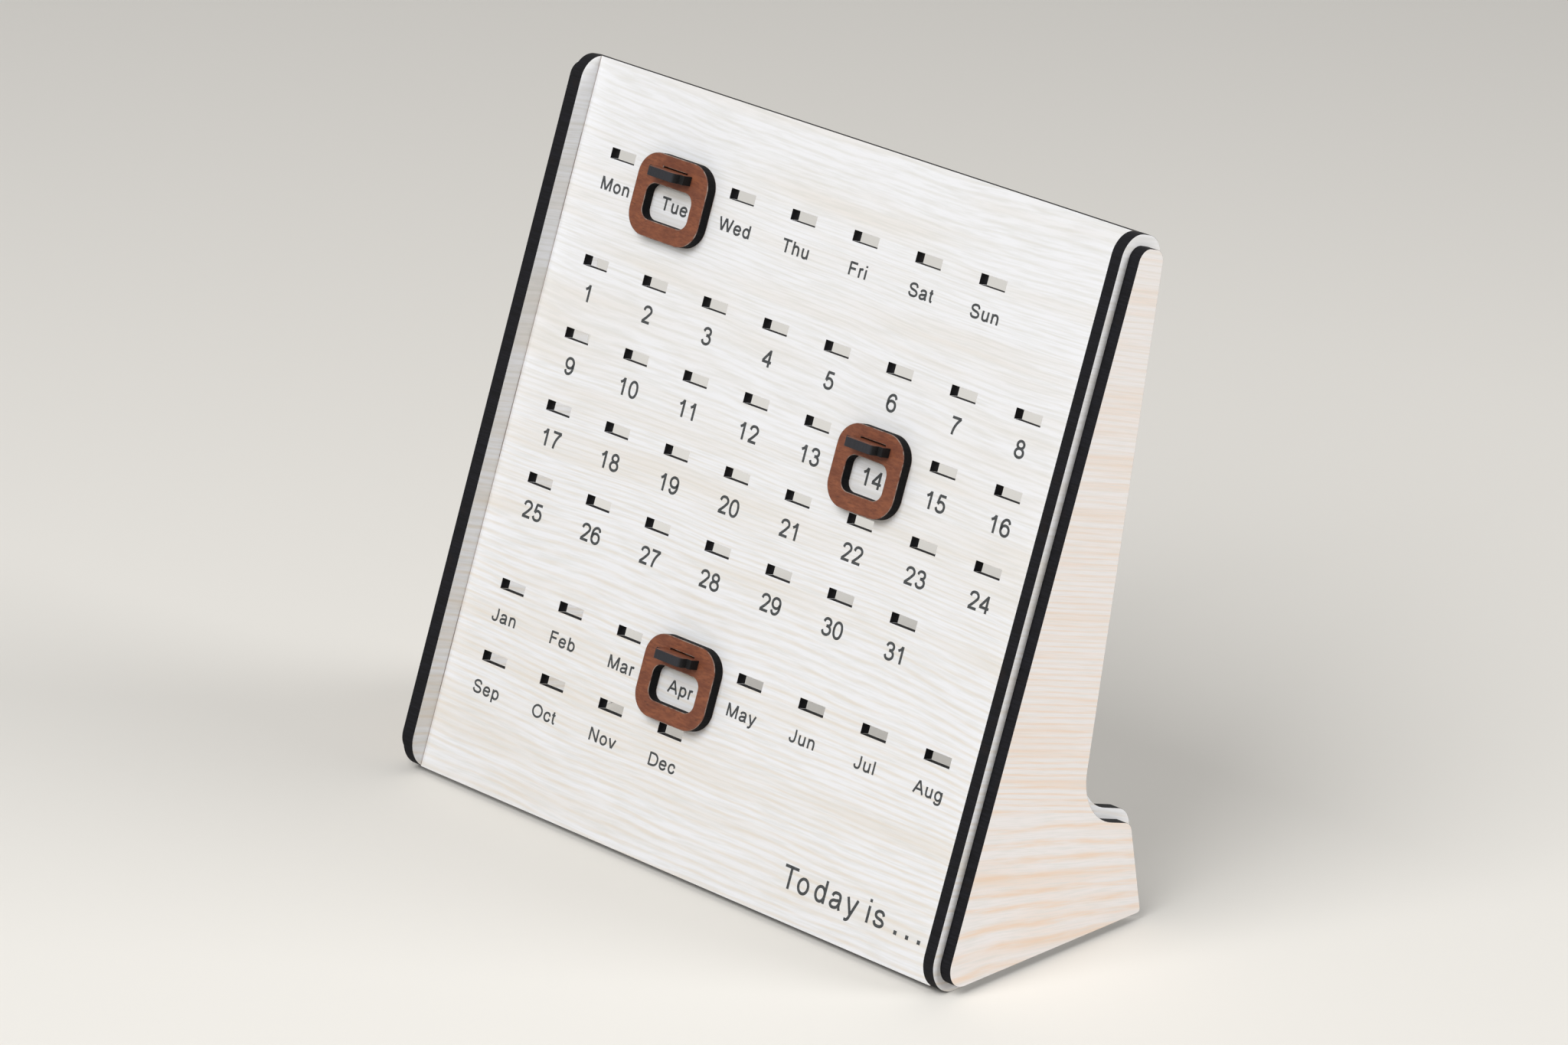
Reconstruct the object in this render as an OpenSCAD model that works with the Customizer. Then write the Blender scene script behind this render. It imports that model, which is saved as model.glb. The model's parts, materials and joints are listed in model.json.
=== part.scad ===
// Perpetual desk calendar, laser cut from 3 mm board.
// A slotted front panel leans back between two sides. Each side is an inner
// board that takes the panel's tabs and a slightly smaller cover glued over
// them. Three ring markers, each glued on a peg, plug into the panel's slots.
// Millimetres. +Z is up, -Y is the front, and z = 0 is the desk.

/* [Front panel] */
// Width of the panel between the two sides
panel_w = 169.9; // [165:0.1:230]
// Height of the panel along its slope
panel_h = 182.3; // [176:0.1:195]
// Thickness of the panel
panel_t = 3.1; // [2.5:0.1:4]
// Lean of the panel back from the vertical, in degrees
lean = 17.3; // [8:0.1:22]
// Height of the panel's lower front edge above the desk
panel_lift = 1.5; // [1:0.1:6]

/* [Slots] */
// Spacing of the slots along a row
slot_pitch = 20; // [18:0.5:20.5]
// Spacing of the date rows, and of the two month rows
row_pitch = 18.5; // [17.5:0.1:20]
// Width of a slot
slot_w = 8; // [6:0.1:10]
// Distance from the panel's upper edge to the weekday slots
top_margin = 20.4; // [12:0.1:26]
// Distance from the weekday slots to the first date slots
week_drop = 27; // [24:0.1:32]
// Distance from the last date slots to the first month slots
month_drop = 27.3; // [24:0.1:32]

/* [Side boards] */
// Thickness of an inner side board
side_t = 3.1; // [2.5:0.1:6]
// Thickness of a cover board
cover_t = 3.1; // [2:0.1:6]
// How far the inner sides stand ahead of the panel's face
side_proud = 5.3; // [4.5:0.1:8]
// How far the inner sides reach behind the panel's face at the top
side_back = 8; // [7.5:0.1:12]
// Angle between the front and the rear edge of a side, in degrees
side_taper = 10.8; // [4:0.1:12.5]
// Height of the foot's upper edge above the panel's lower edge, along the slope
foot_h = 45.7; // [30:0.1:56]
// Depth of the foot on the desk, behind the panel's lower front edge
foot_d = 71.9; // [68:0.1:100]
// Lean of the foot's rear edge towards the front, in degrees
foot_rake = 13.8; // [5:0.1:19]
// How far a cover is set in from the inner side's outline
cover_inset = 2.7; // [1:0.1:3.5]
// How far a cover ends above the desk
cover_lift = 2.2; // [0.5:0.1:4]

/* [Side corners] */
// Radius of an inner side's corner at the front of the base
toe_r = 8.1; // [5:0.1:12]
// Radius of an inner side's two upper corners
top_r = 6.1; // [4.5:0.1:6.6]
// Radius in the corner between the rear edge and the foot
notch_r = 12.3; // [6:0.1:15]
// Radius of an inner side's corner on top of the foot
heel_top_r = 6.4; // [4.5:0.1:9]
// Radius of an inner side's corner at the rear of the base
heel_r = 3.6; // [3.2:0.1:9]

/* [Tabs] */
// Number of tabs on each side of the panel
tab_n = 3; // [2:1:4]
// Length of a tab along the slope
tab_l = 22; // [10:1:30]
// Clearance around a tab in its mortise
tab_fit = 0.05; // [0.02:0.01:0.3]

/* [Markers] */
// Weekday that the weekday marker shows, Monday first
weekday_n = 2; // [1:1:7]
// Date that the date marker shows
date_n = 14; // [1:1:31]
// Month that the month marker shows
month_n = 4; // [1:1:12]
// Thickness of a ring
ring_t = 3.1; // [2.5:0.1:5]
// Gap between a seated ring and the panel
ring_gap = 0.05; // [0.02:0.01:0.3]
// Width of the window that shows a weekday or a month
word_window_w = 14.9; // [13:0.1:16]
// Width of the window that shows a date
date_window_w = 12.8; // [11:0.1:16]
// Height of a window
window_h = 9; // [8:0.1:10]
// Radius of a window's corners
window_r = 2.6; // [1:0.1:3.9]
// Width of a ring's two sides
rim_side = 4; // [3:0.1:5]
// Height of a ring's lower side
rim_low = 4.2; // [3:0.1:5]
// Height of a ring above its slot
rim_top = 2.9; // [2.5:0.1:4.5]
// Height of the bridge between a ring's slot and its window
rim_bridge = 1.9; // [1:0.1:3]
// Radius of a ring's outer corners
ring_r = 6; // [3:0.1:8]

/* [Pegs] */
// Thickness of a peg
peg_t = 2.3; // [2:0.1:4]
// Clearance below and beside a peg in its slot
peg_fit = 0.05; // [0.02:0.01:0.3]
// Play above a peg in its slot
peg_play = 0.35; // [0.02:0.01:0.6]
// How far a peg reaches behind the panel
peg_reach = 3; // [1:0.1:6]
// Width of a peg's shoulder
shoulder_w = 11.5; // [11:0.1:14]
// Depth of a peg's shoulder
shoulder_d = 3; // [2:0.1:5]
// Width of a peg's grip
grip_w = 9.1; // [7:0.1:10.5]
// Depth of a peg's grip ahead of its shoulder
grip_d = 2.4; // [2:0.1:6]
// Radius of a grip's front corners
grip_r = 1.3; // [0.5:0.1:1.9]

/* [Hidden] */

WEEKDAYS = 7;
DATES = 31;
MONTHS = 12;
COLUMNS = 8;            // slots in a full row
ARC = 5;                // degrees between the points of a corner

slot_h = peg_t + peg_fit + peg_play;

// ---- Directions in the side view, whose axes are Y and Z ----
UP = [sin(lean), cos(lean)];        // up the panel's slope
BACK = [cos(lean), -sin(lean)];     // square to the panel, towards the rear
PANEL_FOOT = [0, panel_lift];       // the panel's lower front edge

function left(v) = [-v.y, v.x];
function cross2(a, b) = a.x * b.y - a.y * b.x;
function turn(a, b) = atan2(cross2(a, b), a * b);

// A line is [point, direction]. The outline keeps its inside on the left.
function shift(l, d) = [l[0] + d * left(l[1]), l[1]];
function meet(l, m) =
    l[0] + l[1] * cross2(m[0] - l[0], m[1]) / cross2(l[1], m[1]);

// Points of a corner of radius r, where direction a turns into b at p
function corner(p, a, b, r) =
    let (t = turn(a, b), s = sign(t), n = ceil(abs(t) / ARC),
         c = p - a * r * tan(abs(t) / 2) + s * r * left(a))
    [for (i = [0:n]) let (q = t * i / n)
        c - s * r * cos(q) * left(a) + s * r * sin(q) * a];

// Closed outline along lines, with radii[i] between line i and the next one
function outline(lines, radii) =
    let (n = len(lines))
    [for (i = [0:n - 1])
        let (l = lines[i], m = lines[(i + 1) % n])
        each corner(meet(l, m), l[1], m[1], radii[i])];

// ---- Side boards ----
// Edges of an inner side, from the base round by the rear
function side_lines() =
    let (rake = [-sin(foot_rake), cos(foot_rake)],
         rear = cos(side_taper) * UP - sin(side_taper) * BACK,
         top = PANEL_FOOT + panel_h * UP)
    [[[0, 0], [1, 0]],                          // base
     [[foot_d, 0], rake],                       // foot, rear edge
     [PANEL_FOOT + foot_h * UP, -BACK],         // foot, upper edge
     [top + side_back * BACK, rear],            // rear edge
     [top, -BACK],                              // top edge
     [PANEL_FOOT - side_proud * BACK, -UP]];    // front edge

side_radii = [heel_r, heel_top_r, notch_r, top_r, top_r, toe_r];
bends = [1, 1, -1, 1, 1, 1];        // -1 where the outline turns inwards

// Outline of a side board whose edges are set in, its base by base_in
function side_points(in, base_in) =
    let (l = side_lines())
    outline([for (i = [0:5]) shift(l[i], i == 0 ? base_in : in)],
            [for (i = [0:5]) max(0.3, side_radii[i] - bends[i] * in)]);

side_pts = side_points(0, 0);
side_ys = [for (p = side_pts) p.x];
y_mid = (min(side_ys) + max(side_ys)) / 2;     // middle of the base

// Stands a side outline up, with its inner face at x
module side_board(x, t, pts) {
    translate([x, -y_mid, 0]) rotate([90, 0, 90]) linear_extrude(t)
        difference() {
            polygon(pts);
            children();
        }
}

// ---- Panel ----
// Moves to the panel's face: X across, Y up the slope, Z out of the face
module on_panel() {
    translate([0, -y_mid, panel_lift]) rotate([90 - lean, 0, 0]) children();
}

// Middle of tab i, up the slope
function tab_y(i) = panel_h * (i + 0.5) / tab_n;

// Slots: x of a column, and height up the slope of a row's slots
function slot_x(col) = (col - (COLUMNS - 1) / 2) * slot_pitch;
function row_y(drop) = panel_h - drop - slot_h / 2;

date_rows = ceil(DATES / COLUMNS);
date_drop = top_margin + week_drop;
months_drop = date_drop + (date_rows - 1) * row_pitch + month_drop;

// Places of a block of n slots that starts at a drop from the upper edge
function slots(n, drop) =
    [for (i = [0:n - 1])
        [slot_x(i % COLUMNS), row_y(drop + floor(i / COLUMNS) * row_pitch)]];

weekday_slots = slots(WEEKDAYS, top_margin);
date_slots = slots(DATES, date_drop);
month_slots = slots(MONTHS, months_drop);

module front_panel() {
    color("whitesmoke") on_panel() translate([0, 0, -panel_t])
        linear_extrude(panel_t) difference() {
            union() {
                translate([-panel_w / 2, 0]) square([panel_w, panel_h]);
                for (i = [0:tab_n - 1])
                    translate([0, tab_y(i)])
                        square([panel_w + 2 * side_t, tab_l], center = true);
            }
            for (p = concat(weekday_slots, date_slots, month_slots))
                translate(p) square([slot_w, slot_h], center = true);
        }
}

// The mortises that take the panel's tabs, in the side view
module mortises() {
    for (i = [0:tab_n - 1])
        translate(PANEL_FOOT + tab_y(i) * UP) rotate(-lean)
            translate([-tab_fit, -tab_l / 2 - tab_fit])
                square([panel_t + 2 * tab_fit, tab_l + 2 * tab_fit]);
}

module left_inner_side() {
    color("linen")
        side_board(-panel_w / 2 - side_t, side_t, side_pts) mortises();
}

module right_inner_side() {
    color("linen") side_board(panel_w / 2, side_t, side_pts) mortises();
}

module left_cover() {
    color("seashell")
        side_board(-panel_w / 2 - side_t - cover_t, cover_t,
                   side_points(cover_inset, cover_lift));
}

module right_cover() {
    color("seashell")
        side_board(panel_w / 2 + side_t, cover_t,
                   side_points(cover_inset, cover_lift));
}

// ---- Markers ----
// Moves to the middle of slot i of a block, on the panel's face
module at_slot(block, i) {
    on_panel() translate([block[i - 1].x, block[i - 1].y, 0]) children();
}

// Rectangle with rounded corners, from its lower left corner
module rounded_box(w, h, r) {
    polygon(outline([[[0, 0], [1, 0]], [[w, 0], [0, 1]],
                     [[w, h], [-1, 0]], [[0, h], [0, -1]]], [r, r, r, r]));
}

// Ring round a window, with a slot for its peg above the window
module ring(window_w) {
    window_y = -slot_h / 2 - rim_bridge - window_h;
    w = window_w + 2 * rim_side;
    h = slot_h / 2 + rim_top - window_y + rim_low;
    color("sienna") translate([0, 0, ring_gap]) linear_extrude(ring_t)
        difference() {
            translate([-w / 2, window_y - rim_low]) rounded_box(w, h, ring_r);
            translate([-window_w / 2, window_y])
                rounded_box(window_w, window_h, window_r);
            translate([-slot_w / 2, -slot_h / 2])
                square([slot_w, slot_h]);
        }
}

// Flat peg on its slot's lower edge: a tongue through the ring and the panel,
// a shoulder that rests on the ring's face, and a narrower grip with rounded
// front corners
module peg() {
    tongue_w = slot_w - 2 * peg_fit;
    face = ring_gap + ring_t;
    color("saddlebrown") translate([0, peg_t + peg_fit - slot_h / 2, 0])
        rotate([90, 0, 0]) linear_extrude(peg_t) {
            translate([-tongue_w / 2, -panel_t - peg_reach])
                square([tongue_w, panel_t + peg_reach + face]);
            translate([-shoulder_w / 2, face])
                square([shoulder_w, shoulder_d]);
            translate([-grip_w / 2, face])
                rounded_box(grip_w, shoulder_d + grip_d, grip_r);
        }
}

module weekday_ring() { at_slot(weekday_slots, weekday_n) ring(word_window_w); }
module weekday_peg() { at_slot(weekday_slots, weekday_n) peg(); }
module date_ring() { at_slot(date_slots, date_n) ring(date_window_w); }
module date_peg() { at_slot(date_slots, date_n) peg(); }
module month_ring() { at_slot(month_slots, month_n) ring(word_window_w); }
module month_peg() { at_slot(month_slots, month_n) peg(); }

front_panel();
left_inner_side();
right_inner_side();
left_cover();
right_cover();
weekday_ring();
weekday_peg();
date_ring();
date_peg();
month_ring();
month_peg();
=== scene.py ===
import json
import math

import bmesh
import bpy
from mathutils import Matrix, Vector


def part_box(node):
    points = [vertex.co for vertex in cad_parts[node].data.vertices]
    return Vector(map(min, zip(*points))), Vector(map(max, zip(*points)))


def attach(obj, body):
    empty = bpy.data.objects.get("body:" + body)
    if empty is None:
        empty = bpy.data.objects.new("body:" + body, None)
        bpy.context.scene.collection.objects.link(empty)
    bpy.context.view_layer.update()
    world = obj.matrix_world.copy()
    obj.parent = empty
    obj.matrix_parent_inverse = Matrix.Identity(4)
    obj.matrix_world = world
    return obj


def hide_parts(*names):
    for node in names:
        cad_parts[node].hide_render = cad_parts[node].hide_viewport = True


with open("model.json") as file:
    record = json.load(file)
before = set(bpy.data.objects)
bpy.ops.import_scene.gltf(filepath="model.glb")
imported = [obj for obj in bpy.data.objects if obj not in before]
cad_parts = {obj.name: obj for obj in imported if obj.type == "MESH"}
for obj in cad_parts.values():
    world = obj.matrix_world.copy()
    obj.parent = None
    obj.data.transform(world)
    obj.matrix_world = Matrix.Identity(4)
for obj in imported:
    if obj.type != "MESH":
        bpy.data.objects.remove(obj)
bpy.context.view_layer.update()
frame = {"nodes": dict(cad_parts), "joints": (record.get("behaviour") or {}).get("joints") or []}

bl_info = {
    "name": "Perpetual desk calendar",
    "version": (1, 0, 0),
    "blender": (4, 5, 0),
    "location": "View3D > Sidebar > Calendar",
    "description": "Boards, lettering and ring markers of a laser-cut perpetual desk calendar",
    "category": "Object",
}

MM = 0.001
WELD = 1e-6                                     # points closer than this become one

# The markers pull straight out of the panel, so their joint gives its slope.
ACROSS = Vector((1, 0, 0))
OUT = Vector(frame["joints"][0]["axis"]).normalized()
UP = Vector((0, OUT.z, -OUT.y))
LEAN = math.atan2(OUT.z, -OUT.y)
BOARD_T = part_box("left_cover")[1].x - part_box("left_cover")[0].x
LOW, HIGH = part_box("front_panel")
TAB_W = HIGH.x - LOW.x                          # over the tabs
PANEL_W = TAB_W - 2 * BOARD_T
PANEL_H = (HIGH.z - LOW.z - BOARD_T * math.sin(LEAN)) / math.cos(LEAN)
PEG_TIP = max(OUT.dot(v.co) for v in frame["nodes"]["weekday_peg"].data.vertices)

# The panel and its print are drawn flat: X across, Y up the slope, Z out of
# the face. This turn leans them back, and FOOT is where their origin goes, in
# the middle of the face's lower edge.
LEAN_BACK = (math.pi / 2 - LEAN, 0, 0)
FOOT = Vector((0, LOW.y, LOW.z + BOARD_T * math.sin(LEAN)))

# The slots of each block stand in rows of eight.
COLUMNS = 8
MIDDLE_COLUMN = (COLUMNS - 1) / 2
SLOTS = {"Weekdays": 7, "Dates": 31, "Months": 12}
LAST_DATE_ROW = (SLOTS["Dates"] - 1) // COLUMNS


# ---- Small tools ----
def linear(hex_code):
    """An sRGB hex colour as linear RGBA."""
    rgb = [int(hex_code[i:i + 2], 16) / 255 for i in (1, 3, 5)]
    return [c / 12.92 if c <= 0.04045 else ((c + 0.055) / 1.055) ** 2.4 for c in rgb] + [1.0]


def add(tree, kind, inputs=None, out=0, **settings):
    """Adds a node and gives one of its outputs.

    inputs maps a socket to its value, or to the output that feeds it.
    """
    node = tree.nodes.new(kind)
    for key, value in settings.items():
        setattr(node, key, value)
    for key, value in (inputs or {}).items():
        if isinstance(value, bpy.types.NodeSocket):
            tree.links.new(value, node.inputs[key])
        else:
            node.inputs[key].default_value = value
    return node.outputs[out] if len(node.outputs) else node


def new_object(name, data):
    """An object at the origin with that mesh, curve, lamp or camera."""
    piece = bpy.data.objects.new(name, data)
    bpy.context.scene.collection.objects.link(piece)
    return piece


def freeze(piece):
    """Turns a piece and its live modifiers into a plain mesh."""
    graph = bpy.context.evaluated_depsgraph_get()
    mesh = bpy.data.meshes.new_from_object(piece.evaluated_get(graph))
    name = piece.name
    bpy.data.objects.remove(piece)
    mesh.name = name
    return new_object(name, mesh)


def round_rims(piece, width, material):
    """Breaks a board's sharp rims, and gives them one of its materials."""
    bevel = piece.modifiers.new("rims", "BEVEL")
    bevel.width = width
    bevel.segments = 2
    bevel.limit_method = "ANGLE"
    bevel.angle_limit = math.radians(35)
    bevel.material = material


# ---- Materials ----
# Sockets by number: Map Range takes its value 0 from the range 1 to 2 into
# the range 3 to 4, and Mix blends its colours 6 and 7 by its factor 0.
BLEND = {"out": 2, "data_type": "RGBA"}
WAVE_BAND = 0.314                               # width of a Wave texture's band at a scale of 1


def start_material(name):
    """A material's tree and shader, and a point in millimetres: X across, Y behind, Z up the slope."""
    material = bpy.data.materials.new(name)
    material.use_nodes = True
    tree = material.node_tree
    place = add(tree, "ShaderNodeTexCoord", out="Object")
    point = add(tree, "ShaderNodeMapping", {"Vector": place, "Rotation": (LEAN, 0, 0), "Scale": [1 / MM] * 3})
    return material, tree, tree.nodes["Principled BSDF"], point


def dress(tree, shader, colour, roughness, relief=None, depth=0):
    """Links a shader's colour and roughness, and its relief where it has one."""
    tree.links.new(colour, shader.inputs["Base Color"])
    tree.links.new(roughness, shader.inputs["Roughness"])
    if relief is not None:
        bump = add(tree, "ShaderNodeBump", {"Height": relief, "Distance": depth})
        tree.links.new(bump, shader.inputs["Normal"])


def ash_laminate(name, ground, streak, ring, low, high, strength, spread=0, fan=0, painted_joint_shade=0):
    """White ash laminate: melamine paper printed with limed ash, pressed on fibreboard.

    The eye sees near-white with hair-fine fibres, growth lines a ring apart
    that run almost straight, grey or peach and broken every few centimetres,
    faint beige clouds, and a soft satin sheen. From the height high down to
    low on the slope, in millimetres, the lines warm from grey to the streak
    colour. Above low they lie 1 + spread times as close, and below it they
    rise backwards at the slope fan. The last quarter millimetre of the paper
    along the panel's two sides, where it meets the inner sides, is darkened
    towards the rim colour by a given strength: painted shade of the joint.
    """
    material, tree, shader, point = start_material(name)
    hues = bpy.context.scene.calendar_finishes
    across, behind, height = add(tree, "ShaderNodeSeparateXYZ", {0: point}).node.outputs
    warm = add(tree, "ShaderNodeMapRange", {0: height, 1: high, 2: low, 3: 0.2, 4: 1})

    # The lines crowd and spread over 45 mm, bow by a millimetre or so along
    # 55 mm, lie closer higher up and fan out backwards.
    crowd = add(tree, "ShaderNodeMapping", {"Vector": point, "Scale": (1 / 260, 1 / 260, 1 / 45)})
    crowd = add(tree, "ShaderNodeTexNoise", {"Vector": crowd, "Scale": 1, "Detail": 0})
    bow = add(tree, "ShaderNodeMapping", {"Vector": point, "Location": (3, 5, 7),
                                          "Scale": (1 / 55, 1 / 55, 1 / 30)})
    bow = add(tree, "ShaderNodeTexNoise", {"Vector": bow, "Scale": 1, "Detail": 1})
    shift = add(tree, "ShaderNodeMath", {0: bow, 1: hues.bowing / MM}, operation="MULTIPLY")
    shift = add(tree, "ShaderNodeMath", {0: crowd, 1: hues.crowding / MM, 2: shift}, operation="MULTIPLY_ADD")
    above = add(tree, "ShaderNodeMath", {0: height, 1: low}, operation="SUBTRACT")
    above = add(tree, "ShaderNodeMath", {0: above, 1: 0}, operation="MAXIMUM")
    shift = add(tree, "ShaderNodeMath", {0: above, 1: spread, 2: shift}, operation="MULTIPLY_ADD")
    rise = add(tree, "ShaderNodeMath", {0: warm, 1: -fan}, operation="MULTIPLY")
    shift = add(tree, "ShaderNodeMath", {0: behind, 1: rise, 2: shift}, operation="MULTIPLY_ADD")
    shift = add(tree, "ShaderNodeCombineXYZ", {2: shift})
    bowed = add(tree, "ShaderNodeVectorMath", {0: point, 1: shift}, operation="ADD")

    each_ring = WAVE_BAND * MM / ring
    rings = add(tree, "ShaderNodeMapping", {"Vector": bowed, "Scale": (1 / 40, 1 / 40, each_ring)})
    rings = add(tree, "ShaderNodeTexWave", {"Vector": rings, "Scale": 1, "Distortion": 2.2, "Detail": 2,
                                            "Detail Scale": 1.6, "Detail Roughness": 0.6},
                out="Fac", bands_direction="Z")
    # Wisps, fibres and clouds, by their length, width and roughness. The
    # fibres are 0.5 mm wide, about twice the real ones, so that they show.
    streaks = []
    for long, wide, rough in ((16, 0.9, 0.6), (9, 0.5, 0.5), (70, 6, 0.5)):
        along = add(tree, "ShaderNodeMapping", {"Vector": bowed, "Scale": (1 / long, 1 / long, 1 / wide)})
        streaks.append(add(tree, "ShaderNodeTexNoise", {"Vector": along, "Scale": 1, "Detail": 2,
                                                        "Roughness": rough}))
    wisps, fibres, clouds = streaks

    # The lines are fine and faint at the top, and broad and strong at the
    # foot, and the wisps break them.
    fine = add(tree, "ShaderNodeMapRange", {0: height, 1: high, 2: low, 3: 0.62, 4: 0.35})
    faint = add(tree, "ShaderNodeMapRange", {0: height, 1: high, 2: low, 3: 0.7, 4: 1})
    broken = add(tree, "ShaderNodeMapRange", {0: wisps, 1: 0.38, 2: 0.62, 3: 0.25})
    lines = add(tree, "ShaderNodeMapRange", {0: rings, 1: fine, 2: 1, 4: strength})
    lines = add(tree, "ShaderNodeMath", {0: lines, 1: broken}, operation="MULTIPLY")
    lines = add(tree, "ShaderNodeMath", {0: lines, 1: faint}, operation="MULTIPLY")
    # Painted shade of the joint: over the last quarter millimetre along the panel's two sides, where it meets
    # the inner sides, the paper darkens towards the rim colour.
    side = add(tree, "ShaderNodeMath", {0: across}, operation="ABSOLUTE")
    edge = PANEL_W / MM / 2
    seam = add(tree, "ShaderNodeMapRange", {0: side, 1: edge - 0.25, 2: edge - 0.1, 4: painted_joint_shade})

    cloudy = add(tree, "ShaderNodeMapRange", {0: clouds, 1: 0.46, 2: 0.7, 4: 0.5})
    fibrous = add(tree, "ShaderNodeMapRange", {0: fibres, 1: 0.42, 2: 0.7, 4: 0.5})
    line_colour = add(tree, "ShaderNodeMix", {0: warm, 6: hues.growth_line, 7: streak}, **BLEND)
    colour = add(tree, "ShaderNodeMix", {0: cloudy, 6: ground, 7: streak}, **BLEND)
    colour = add(tree, "ShaderNodeMix", {0: fibrous, 6: colour, 7: hues.growth_line}, **BLEND)
    colour = add(tree, "ShaderNodeMix", {0: lines, 6: colour, 7: line_colour}, **BLEND)
    colour = add(tree, "ShaderNodeMix", {0: seam, 6: colour, 7: hues.rim}, **BLEND)
    satin = add(tree, "ShaderNodeMapRange", {0: fibres, 1: 0.3, 2: 0.7, 3: 0.42, 4: 0.54})
    dress(tree, shader, colour, satin, fibres, 0.02 * MM)
    shader.inputs["IOR"].default_value = 1.5
    return material


def sapele_veneer(name):
    """Sapele veneer, sanded and left matt.

    The eye sees a red-brown sheet that clouds softly from rust to umber over
    a few millimetres, with fine dark pores along its grain and no gloss. The
    fibres are drawn 0.5 mm apart, some three times their real spacing.
    """
    material, tree, shader, point = start_material(name)
    hues = bpy.context.scene.calendar_finishes
    clouds = add(tree, "ShaderNodeMapping", {"Vector": point, "Scale": (1 / 4.5, 1 / 4.5, 1 / 2.6)})
    clouds = add(tree, "ShaderNodeTexNoise", {"Vector": clouds, "Scale": 1, "Detail": 3, "Roughness": 0.6})
    fibres = add(tree, "ShaderNodeMapping", {"Vector": point, "Scale": (1 / 1.6, 1 / 1.6, 1 / 0.5)})
    fibres = add(tree, "ShaderNodeTexNoise", {"Vector": fibres, "Scale": 1, "Detail": 2})
    pores = add(tree, "ShaderNodeMapping", {"Vector": point, "Location": (9, 4, 2),
                                            "Scale": (1 / 1.3, 1 / 1.3, 1 / 0.2)})
    pores = add(tree, "ShaderNodeTexNoise", {"Vector": pores, "Scale": 1, "Detail": 1})
    cloudy = add(tree, "ShaderNodeMapRange", {0: clouds, 1: 0.34, 2: 0.66})
    fibrous = add(tree, "ShaderNodeMapRange", {0: fibres, 1: 0.4, 2: 0.66, 4: 0.7})
    porous = add(tree, "ShaderNodeMapRange", {0: pores, 1: 0.62, 2: 0.74, 4: 0.55})
    colour = add(tree, "ShaderNodeMix", {0: cloudy, 6: hues.brown_dark, 7: hues.brown_light}, **BLEND)
    colour = add(tree, "ShaderNodeMix", {0: 0.4, 6: colour, 7: hues.brown}, **BLEND)
    colour = add(tree, "ShaderNodeMix", {0: fibrous, 6: colour, 7: hues.brown_dark}, **BLEND)
    colour = add(tree, "ShaderNodeMix", {0: porous, 6: colour, 7: hues.brown_pore}, **BLEND)
    matt = add(tree, "ShaderNodeMapRange", {0: fibres, 1: 0.3, 2: 0.7, 3: 0.5, 4: 0.64})
    dress(tree, shader, colour, matt, fibres, 0.03 * MM)
    shader.inputs["IOR"].default_value = 1.48
    return material


def charred_edge(name, across, soot, ash, gloss=0.15, patchy_highlight=None):
    """Laser-cut fibreboard edge: charred black by the beam, dry and sooty.

    The eye sees a blue-black wall with fine ribs across the board's
    thickness, where the beam stepped, and a few browner scorches. The ribs
    are drawn 0.35 mm apart, about twice the real step, so that they show.
    across holds 0 on the axis through the board, and 1 on the other two; soot
    and ash are the colours between and on the ribs. Where a tip colour is given,
    the outermost half millimetre of the pegs' tips is painted in it, in patches:
    a painted highlight where the tips face the light.
    """
    material, tree, shader, point = start_material(name)
    hues = bpy.context.scene.calendar_finishes
    ribs = add(tree, "ShaderNodeMapping", {"Vector": point, "Scale": [max(a, 0.05) / 0.35 for a in across]})
    ribs = add(tree, "ShaderNodeTexNoise", {"Vector": ribs, "Scale": 1, "Detail": 1.5})
    scorch = add(tree, "ShaderNodeTexNoise", {"Vector": point, "Scale": 1 / 5, "Detail": 2})
    ribbed = add(tree, "ShaderNodeMapRange", {0: ribs, 1: 0.35, 2: 0.72})
    scorched = add(tree, "ShaderNodeMapRange", {0: scorch, 1: 0.58, 2: 0.78, 4: 0.4})
    colour = add(tree, "ShaderNodeMix", {0: ribbed, 6: soot, 7: ash}, **BLEND)
    colour = add(tree, "ShaderNodeMix", {0: scorched, 6: colour, 7: hues.scorch}, **BLEND)
    # Painted highlight: the front of each peg's tip, which faces the light, is painted in the lighter tip
    # colour, in patches along the ribs.
    if patchy_highlight is not None:
        behind = add(tree, "ShaderNodeSeparateXYZ", {0: point}, out="Y")
        tip = -PEG_TIP / MM
        tip_front = add(tree, "ShaderNodeMapRange", {0: behind, 1: tip + 0.5, 2: tip + 0.1})
        patchy = add(tree, "ShaderNodeMapRange", {0: ribs, 1: 0.3, 2: 0.6, 3: 0.6})
        tip_highlight_mask = add(tree, "ShaderNodeMath", {0: tip_front, 1: patchy}, operation="MULTIPLY")
        colour = add(tree, "ShaderNodeMix", {0: tip_highlight_mask, 6: colour, 7: patchy_highlight}, **BLEND)
    dry = add(tree, "ShaderNodeMapRange", {0: ribs, 1: 0.3, 2: 0.7, 3: 0.66, 4: 0.85})
    dress(tree, shader, colour, dry, ribs, 0.05 * MM)
    shader.inputs["IOR"].default_value = 1.5
    shader.inputs["Specular IOR Level"].default_value = gloss
    return material


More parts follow.
